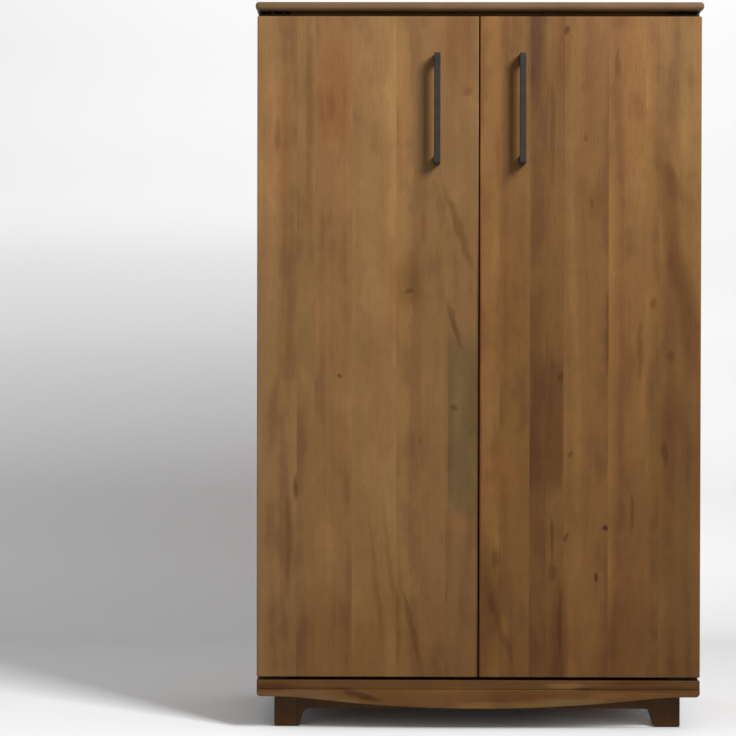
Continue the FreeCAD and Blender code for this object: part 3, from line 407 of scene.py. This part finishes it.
RIGHT_MARKS = [
    # Soft light and dark areas
    ("oval", 222, 915, 20, 45, 0, (0.84, 0.76, 0.66)),
    ("oval", 386, 318, 76, 640, 0, (0.73, 0.68, 0.65)),
    ("oval", 372, 955, 20, 52, -0.50, (0.78, 0.71, 0.63)),
    ("oval", 374, 725, 34, 130, 0, (0.82, 0.76, 0.73)),
    ("oval", 376, 470, 36, 130, 0, (0.84, 0.78, 0.80)),
    ("oval", 285, 310, 46, 170, 0, (0.85, 0.84, 0.87)),
    ("oval", 366, 900, 24, 210, -0.10, (0.73, 0.66, 0.54)),
    ("oval", 410, 1090, 30, 220, 0, (1.16, 1.21, 1.26)),
    ("oval", 404, 690, 26, 170, -0.12, (0.80, 0.75, 0.68)),
    ("oval", 303, 1090, 44, 250, 0, (1.12, 1.11, 1.09)),
    ("oval", 106, 1235, 20, 160, 0, (0.69, 0.61, 0.51)),
    ("oval", 196, 1170, 50, 200, 0, (0.85, 0.82, 0.80)),
    ("oval", 300, 899, 24, 120, 0, (1.06, 1.08, 1.15)),
    ("oval", 416, 380, 18, 420, 0, (1.03, 1.07, 1.17)),
    ("oval", 158, 1210, 22, 110, 0, (0.86, 0.77, 0.64)),
    ("oval", 22, 140, 34, 150, 0, (0.70, 0.63, 0.56)),
    ("oval", 52, 165, 22, 70, 0, (0.83, 0.77, 0.77)),
    ("oval", 177, 319, 17, 210, 0, (0.88, 0.84, 0.86)),
    ("oval", 314, 222, 36, 220, 0, (0.89, 0.86, 0.86)),
    ("oval", 158, 70, 22, 170, 0, (0.78, 0.69, 0.58)),
    ("oval", 285, 40, 70, 200, 0, (0.80, 0.74, 0.67)),
    ("band", 130, 490, 33, 155, 0, (0.75, 0.66, 0.60)),
    ("band", 146, 120, 17, 190, 0, (0.94, 0.90, 0.88)),
    ("oval", 46, 390, 46, 70, 0, (1.12, 1.03, 0.98)),
    # Painted shade: the door darkens towards its lower edge
    ("oval", 214, -20, 420, 170, 0, (0.86, 0.81, 0.74)),
    # Streaks along the grain
    ("oval", 141, 1056, 7, 130, 0, (0.78, 0.70, 0.59)),
    ("oval", 265, 1177, 8, 36, 0, (0.71, 0.65, 0.54)),
    ("oval", 248, 664, 4.5, 110, 0, (0.71, 0.65, 0.54)),
    ("oval", 310, 628, 8, 74, 0, (0.73, 0.66, 0.56)),
    ("oval", 358, 434, 9, 38, 0, (0.67, 0.59, 0.49)),
    ("oval", 142, 268, 4.5, 58, 0, (0.63, 0.55, 0.46)),
    ("oval", 157, 105, 6, 76, 0, (0.71, 0.64, 0.53)),
    ("oval", 296, 321, 4.5, 50, 0, (0.69, 0.63, 0.52)),
    ("oval", 45, 89, 9, 96, -0.31, (0.78, 0.70, 0.59)),
    # Knots
    ("oval", 168, 1246, 7, 10, 0, (0.48, 0.35, 0.25)),
    ("oval", 205, 1040, 6, 8, 0, (0.78, 0.67, 0.55)),
    ("oval", 217, 917, 6, 9, 0, (0.78, 0.66, 0.54)),
    ("oval", 157, 578, 7, 10, 0, (0.72, 0.53, 0.38)),
    ("oval", 335, 719, 8, 13, 0, (0.72, 0.57, 0.42)),
    ("oval", 371, 621, 9, 13, 0, (0.76, 0.62, 0.50)),
    ("oval", 246, 294, 8, 7, 0, (0.33, 0.20, 0.12)),
    ("oval", 226, 193, 5, 12, 0, (0.35, 0.22, 0.14)),
    ("oval", 176, 429, 6, 8, 0, (0.67, 0.59, 0.49)),
    ("oval", 168, 270, 6, 8, 0, (0.63, 0.55, 0.46)),
    ("oval", 143, 205, 11, 22, 0, (0.70, 0.62, 0.53)),
    ("oval", 33, 228, 12, 24, 0, (0.73, 0.66, 0.54)),
    ("oval", 27, 147, 10, 26, 0, (0.78, 0.69, 0.57)),
]

# Painted shade along the edges of both doors where they meet, as in the gap between them
GAP_SHADE_MARKS = [
    ("band", 0, 300, 3.0, 700, 0, (0.55, 0.45, 0.36)),
    ("band", 0, 300, 5.5, 700, 0, (0.80, 0.74, 0.68)),
]

# The figure of each stave is shifted from that of the one before it by the golden share
GOLDEN = 0.618
DOOR_SHIFT = 9.0
DOOR_SWAYS = (40.0, 22.0)
DOOR_SWAY = (0.010, 0.030)


def door_wood(hand, staves, marks, tint, seed):
    """A door's wood, with the tone of each stave and each mark that it shows."""
    material, net, shader, place = new_material(f"{hand}_door_wood")
    low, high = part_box(f"{hand}_door_panel")
    width = high[0] - low[0]
    u, v, w = board_place(net, place, "xzy")
    start = staves[0][0]
    share = net.calc("MULTIPLY_ADD", u, 1.0 / width, -start * MM / width)
    edges = [(edge - start) * MM / width for edge, tone, hue in staves]
    tints = [tuple(tone * a * b for a, b in zip(hue, tint)) for edge, tone, hue in staves]
    tones = net.ramp(share, list(zip(edges, tints)), steps=True)
    picks = [(index * GOLDEN + seed) % 1.0 for index in range(len(staves))]
    pick = net.ramp(share, [(edge, (part, part, part)) for edge, part in zip(edges, picks)], steps=True)
    phase = net.calc("MULTIPLY", pick, DOOR_SHIFT)
    timber = use_group(net, TIMBER, {"Across": u, "Along": v, "Through": w, "Phase": phase})
    colour = net.mix(1.0, timber.outputs["Color"], tones, "MULTIPLY")
    near, level = sway(net, u, w, v, DOOR_SWAYS, DOOR_SWAY)
    colour = lay_marks(net, colour, marks + GAP_SHADE_MARKS, u, near, level)
    finish_wood(net, shader, colour, timber)
    return material


# Metal, plastic and felt: dark and light tone, changes in a metre and the noise that they spread over,
# roughness and how it changes, and relief in metres

PULL_TONES = ((0.015, 0.012, 0.010), (0.024, 0.019, 0.016))
PULL_GLEAM = 0.25
# The hinges are nearly black with little gleam, which also paints the shade in the gaps where they show
HINGE_TONES_AND_GAP_SHADE = ((0.006, 0.004, 0.003), (0.011, 0.008, 0.006))
HINGE_GLEAM = 0.06
METAL_GRAIN = 900.0
METAL_WEAR = 45.0
METAL_SPREAD = 0.2
METAL_ROUGHNESS = 0.50
METAL_CHANGE = 0.25
METAL_RELIEF = 0.00006
STEEL_TONES = ((0.50, 0.50, 0.49), (0.66, 0.65, 0.62))
STEEL_BRUSH = (160.0, 900.0, 900.0)
STEEL_SPREAD = 0.25
STEEL_ROUGHNESS = 0.36
STEEL_CHANGE = 0.3
STEEL_RELIEF = 0.00004
WASHER_TONES = ((0.030, 0.028, 0.026), (0.045, 0.042, 0.038))
WASHER_ROUGHNESS = 0.42
CATCH_TONES = ((0.10, 0.060, 0.035), (0.14, 0.085, 0.050))
CATCH_ROUGHNESS = 0.40
PLASTIC_SKIN = 1400.0
PLASTIC_FLOW = 120.0
PLASTIC_SPREAD = 0.25
PLASTIC_CHANGE = 0.2
PLASTIC_RELIEF = 0.00005
FELT_TONES = ((0.030, 0.022, 0.016), (0.085, 0.066, 0.050))
FELT_FUZZ = 1100.0
FELT_SPREAD = 0.25
FELT_ROUGHNESS = 0.95
FELT_SHEEN = 0.3
FELT_RELIEF = 0.0006


def blotch(net, shader, noise, spread, tones):
    """Gives a shader a colour that goes from a dark tone to a light one with a noise."""
    dark, light = tones
    colour = net.mix(net.ease(noise, -spread, spread), (*dark, 1.0), (*light, 1.0))
    net.feed(shader.inputs["Base Color"], colour)


def roughen(net, shader, noise, change, roughness):
    """Gives a shader a roughness that changes a little with a noise."""
    net.feed(shader.inputs["Roughness"], net.calc("MULTIPLY_ADD", noise, change, roughness))


def dark_metal(name, tones, gleam):
    """Nearly black coated metal with a fine grain."""
    material, net, shader, place = new_material(name)
    grain = net.grain(place, METAL_GRAIN)
    wear = net.grain(place, METAL_WEAR, 3.0)
    blotch(net, shader, wear, METAL_SPREAD, tones)
    roughen(net, shader, wear, METAL_CHANGE, METAL_ROUGHNESS)
    shader.inputs["Specular IOR Level"].default_value = gleam
    bump(net, shader, grain, METAL_RELIEF)
    return material


def steel():
    """Bright zinc with a soft brushed look."""
    material, net, shader, place = new_material("steel")
    parts = board_place(net, place, "xyz")
    stretched = [net.calc("MULTIPLY", part, scale) for part, scale in zip(parts, STEEL_BRUSH)]
    brush = net.noise(net.vector(*stretched), 2.0)
    blotch(net, shader, brush, STEEL_SPREAD, STEEL_TONES)
    roughen(net, shader, brush, STEEL_CHANGE, STEEL_ROUGHNESS)
    shader.inputs["Metallic"].default_value = 1.0
    bump(net, shader, brush, STEEL_RELIEF)
    return material


def moulded(name, tones, roughness):
    """Moulded plastic with a fine skin."""
    material, net, shader, place = new_material(name)
    skin = net.grain(place, PLASTIC_SKIN)
    flow = net.grain(place, PLASTIC_FLOW)
    blotch(net, shader, flow, PLASTIC_SPREAD, tones)
    roughen(net, shader, skin, PLASTIC_CHANGE, roughness)
    bump(net, shader, skin, PLASTIC_RELIEF)
    return material


def felt():
    """Pressed brown felt."""
    material, net, shader, place = new_material("felt")
    fuzz = net.grain(place, FELT_FUZZ, 4.0, 0.7)
    blotch(net, shader, fuzz, FELT_SPREAD, FELT_TONES)
    shader.inputs["Roughness"].default_value = FELT_ROUGHNESS
    shader.inputs["Sheen Weight"].default_value = FELT_SHEEN
    bump(net, shader, fuzz, FELT_RELIEF)
    return material


# Looks: one for each node

TOP_TINT = (0.67, 0.74, 1.08)
BOTTOM_TINT = (0.585, 0.495, 0.315)
APRON_TINT = (0.715, 0.60, 0.375)
# The leg frame's dark tint also paints the shade that the apron casts on the feet and rails
FRAME_TINT_AND_SHADE = (0.36, 0.28, 0.145)
INNER_TINT = (0.94, 0.93, 0.92)
BACK_TINT = (0.97, 0.98, 0.96)
DOWEL_TINT = (1.6, 1.9, 2.3)
LOOKS = {}


def dress(material, *names):
    """Gives some nodes one look."""
    for name in names:
        LOOKS[name] = material


# Each door: its hand, staves, marks, tint and seed
dress(door_wood("left", LEFT_STAVES, LEFT_MARKS, LEFT_TINT, 0.13), "left_door_panel")
dress(door_wood("right", RIGHT_STAVES, RIGHT_MARKS, RIGHT_TINT, 0.57), "right_door_panel")

# Each board: its wood, its axes across, along and through, its seed, stave, tint and marks
dress(wood("top_wood", "yxz", 3.1, tint=TOP_TINT), "top_panel")
dress(wood("bottom_wood", "zxy", 5.2, EDGE_STAVE, BOTTOM_TINT, BASE_MARKS_AND_PAINTED_LIGHT), "bottom_panel")
dress(wood("apron_wood", "zxy", 5.2, EDGE_STAVE, APRON_TINT, BASE_MARKS_AND_PAINTED_LIGHT), "front_apron")
dress(wood("side_wood", "yzx", 7.7), "left_side", "right_side")
dress(wood("foot_wood", "xzy", 8.4, WIDE_STAVE, FRAME_TINT_AND_SHADE),
      *[f"{hand}_{end}_foot" for hand in HANDS for end in ("front", "rear")])
dress(wood("rail_wood", "zxy", 1.9, WIDE_STAVE, FRAME_TINT_AND_SHADE), "front_rail", "rear_rail")
dress(wood("side_rail_wood", "zyx", 2.6, WIDE_STAVE, FRAME_TINT_AND_SHADE), "left_rail", "right_rail")
dress(wood("shelf_wood", "yxz", 4.3, tint=INNER_TINT), "serving_shelf", "upper_shelf", "lower_shelf")
dress(wood("stretcher_wood", "yxz", 6.8, WIDE_STAVE, INNER_TINT), "front_stretcher", "rear_stretcher")
dress(wood("cradle_wood", "zxy", 9.5, WIDE_STAVE, INNER_TINT), "front_cradle", "rear_cradle", "wall_rail")
dress(wood("batten_wood", "zxy", 3.7, WIDE_STAVE, INNER_TINT),
      *[f"{hand}_{level}_batten" for hand in HANDS for level in LEVELS])
dress(wood("stemware_wood", "xyz", 5.5, RACK_STAVE, INNER_TINT),
      *[name for name in nodes if name.startswith("stemware_rail_")])
dress(wood("back_wood", "xzy", 1.4, PLY_STAVE, BACK_TINT), "back_panel")
dress(wood("dowel_wood", "yxz", 2.2, WIDE_STAVE, DOWEL_TINT), "dowels")

dress(dark_metal("pull_metal", PULL_TONES, PULL_GLEAM), *[f"{hand}_handle" for hand in HANDS])
dress(dark_metal("hinge_metal", HINGE_TONES_AND_GAP_SHADE, HINGE_GLEAM), "hinge_pins",
      *[f"{hand}_{level}_{kind}_leaf" for hand in HANDS for level in LEVELS for kind in ("frame", "door")])
dress(steel(), "shelf_pins", "wood_screws", "small_screws",
      *[f"{hand}_{kind}" for hand in HANDS
        for kind in ("batten_screws", "small_screws", "handle_screws", "strike_plate")])
dress(felt(), "felt_pads")
dress(moulded("washer_plastic", WASHER_TONES, WASHER_ROUGHNESS), "hinge_washers")
dress(moulded("catch_plastic", CATCH_TONES, CATCH_ROUGHNESS), *[f"{hand}_catch" for hand in HANDS])

for name, piece in nodes.items():
    for slot in piece.material_slots:
        slot.material = LOOKS[name]

# Stage: a pale floor that curves up into a wall, seen only from its front

FLOOR_FRONT = -12.0
WALL_Y = 1.35
WALL_TOP = 9.0
CURVE = 0.35
CURVE_STEPS = 24
STAGE_HALF = 9.0
PAPER_LOW = (0.47, 0.47, 0.47, 1.0)
PAPER_HIGH = (0.49, 0.49, 0.49, 1.0)
PAPER_GRAIN = 300.0
PAPER_SPREAD = 0.3

# How white the paper is shown at each share of a height in metres: painted light and shade on the backdrop
WHITES = [(0.0, 2.52), (0.13, 2.74), (0.30, 2.91), (0.47, 2.74), (0.63, 2.49), (0.80, 2.35), (1.0, 2.21)]
WHITES_HEIGHT = 1.6
WHITE_HUE = (0.99, 1.0, 1.013)

# Painted light that the floor gains between the feet: the places in metres from which and to which the gain
# grows, the gain to the left and to the right of them, and how many metres it takes to fade in at the front
GAIN_FROM = 0.05
GAIN_TO = 0.36
GAIN_LEFT = 0.55
GAIN_RIGHT = 2.6
GAIN_FADE = 0.015


def backdrop():
    """One sheet from the floor in front to the top of the wall."""
    outline = [(FLOOR_FRONT, 0.0), (WALL_Y - CURVE, 0.0)]
    for step in range(1, CURVE_STEPS + 1):
        turn = math.pi / 2 * step / CURVE_STEPS
        outline.append((WALL_Y - CURVE + CURVE * math.sin(turn), CURVE - CURVE * math.cos(turn)))
    outline.append((WALL_Y, WALL_TOP))
    points = [(side * STAGE_HALF, y, z) for y, z in outline for side in (-1, 1)]
    faces = [(2 * i, 2 * i + 1, 2 * i + 3, 2 * i + 2) for i in range(len(outline) - 1)]
    mesh = bpy.data.meshes.new("backdrop")
    mesh.from_pydata(points, [], faces)
    mesh.polygons.foreach_set("use_smooth", [True] * len(faces))
    sheet = bpy.data.objects.new("backdrop", mesh)
    bpy.context.scene.collection.objects.link(sheet)
    return sheet


def seen_ray(net):
    """One where the eye sees a surface, straight, in a reflection or through glass."""
    rays = net.add("LightPath").outputs
    mirrored = net.calc("MAXIMUM", rays["Is Glossy Ray"], rays["Is Transmission Ray"])
    return net.calc("MAXIMUM", rays["Is Camera Ray"], mirrored)


def painted_light_under_cabinet(net, x, y):
    """How much painted light lifts the floor between the feet, most of all near the right ones."""
    front_low, front_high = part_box("right_front_foot")
    rear_low, rear_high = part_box("right_rear_foot")
    sides = net.ease(net.calc("ABSOLUTE", x), front_high[0], front_low[0])
    front = net.ease(y, front_low[1], front_low[1] + GAIN_FADE)
    rear = net.ease(y, rear_high[1], rear_low[1])
    inside = net.calc("MULTIPLY", sides, net.calc("MULTIPLY", front, rear))
    gain = net.ease(x, GAIN_FROM, GAIN_TO, GAIN_LEFT, GAIN_RIGHT)
    return net.calc("MULTIPLY_ADD", inside, gain, 1.0)


def paper():
    """Matt white paper that hides nothing from behind, shown with painted light and shade."""
    material, net, shader, place = new_material("paper")
    x, y, z = board_place(net, place, "xyz")
    grain = net.grain(place, PAPER_GRAIN, 3.0)
    colour = net.mix(net.ease(grain, -PAPER_SPREAD, PAPER_SPREAD), PAPER_LOW, PAPER_HIGH)
    height = net.calc("DIVIDE", z, WHITES_HEIGHT)
    white = net.ramp(height, [(stop, [level * hue for hue in WHITE_HUE]) for stop, level in WHITES])
    white = net.mix(1.0, white, painted_light_under_cabinet(net, x, y), "MULTIPLY")
    shown = net.mix(seen_ray(net), colour, net.mix(1.0, colour, white, "MULTIPLY"))
    sheet = net.add("BsdfDiffuse", {"Color": shown}).outputs[0]
    behind = net.add("NewGeometry").outputs["Backfacing"]
    clear = net.add("BsdfTransparent").outputs[0]
    either = net.add("MixShader", {0: behind, 1: sheet, 2: clear}).outputs[0]
    net.feed(net.tree.nodes["Material Output"].inputs["Surface"], either)
    net.tree.nodes.remove(shader)
    return material


floor = backdrop()
floor.data.materials.append(paper())

# Light: one soft box from the upper right, and even light from all round

KEY_PLACE = (1.724, -2.406, 3.053)
KEY_AIM = (-3.0, -0.2, 3.7)
KEY_WIDE = 1.05
KEY_TALL = 1.9
KEY_POWER = 204.0
SKY_COLOUR = (1.0, 0.99, 0.98, 1.0)
SKY_STRENGTH = 0.385
SHOWN_COLOUR = (0.92, 0.92, 0.91, 1.0)


def soft_box(name, place, aim, wide, tall, power):
    """A flat lamp turned to a point."""
    lamp = bpy.data.lights.new(name, "AREA")
    lamp.shape = "RECTANGLE"
    lamp.size = wide
    lamp.size_y = tall
    lamp.energy = power
    holder = bpy.data.objects.new(name, lamp)
    holder.location = place
    holder.rotation_euler = (Vector(aim) - Vector(place)).to_track_quat("-Z", "Y").to_euler()
    holder.visible_camera = False
    bpy.context.scene.collection.objects.link(holder)


def even_light():
    """A world that lights from all round, and that the eye sees pale."""
    world = bpy.data.worlds.new("studio")
    bpy.context.scene.world = world
    world.use_nodes = True
    sky = Net(world.node_tree)
    shown = sky.add("Background", {"Color": SHOWN_COLOUR, "Strength": 1.0}).outputs[0]
    lit = sky.add("Background", {"Color": SKY_COLOUR, "Strength": SKY_STRENGTH}).outputs[0]
    either = sky.add("MixShader", {0: seen_ray(sky), 1: lit, 2: shown}).outputs[0]
    sky.feed(world.node_tree.nodes["World Output"].inputs["Surface"], either)


soft_box("key", KEY_PLACE, KEY_AIM, KEY_WIDE, KEY_TALL, KEY_POWER)
even_light()

# Camera: a little left of the middle, level with the middle of the doors

LENS = 101.44
SENSOR = 36.0
SEEN_TO = 60.0
VIEW_PLACE = (-0.1885, -4.2065, 0.7425)
VIEW_TURN = (90.0 - 0.593, -0.106, 0.362)

camera = bpy.data.cameras.new("camera")
camera.lens = LENS
camera.sensor_width = SENSOR
camera.clip_end = SEEN_TO
viewer = bpy.data.objects.new("camera", camera)
viewer.location = VIEW_PLACE
viewer.rotation_euler = [math.radians(turn) for turn in VIEW_TURN]
bpy.context.scene.collection.objects.link(viewer)
bpy.context.scene.camera = viewer
bpy.context.scene.view_settings.view_transform = "Standard"
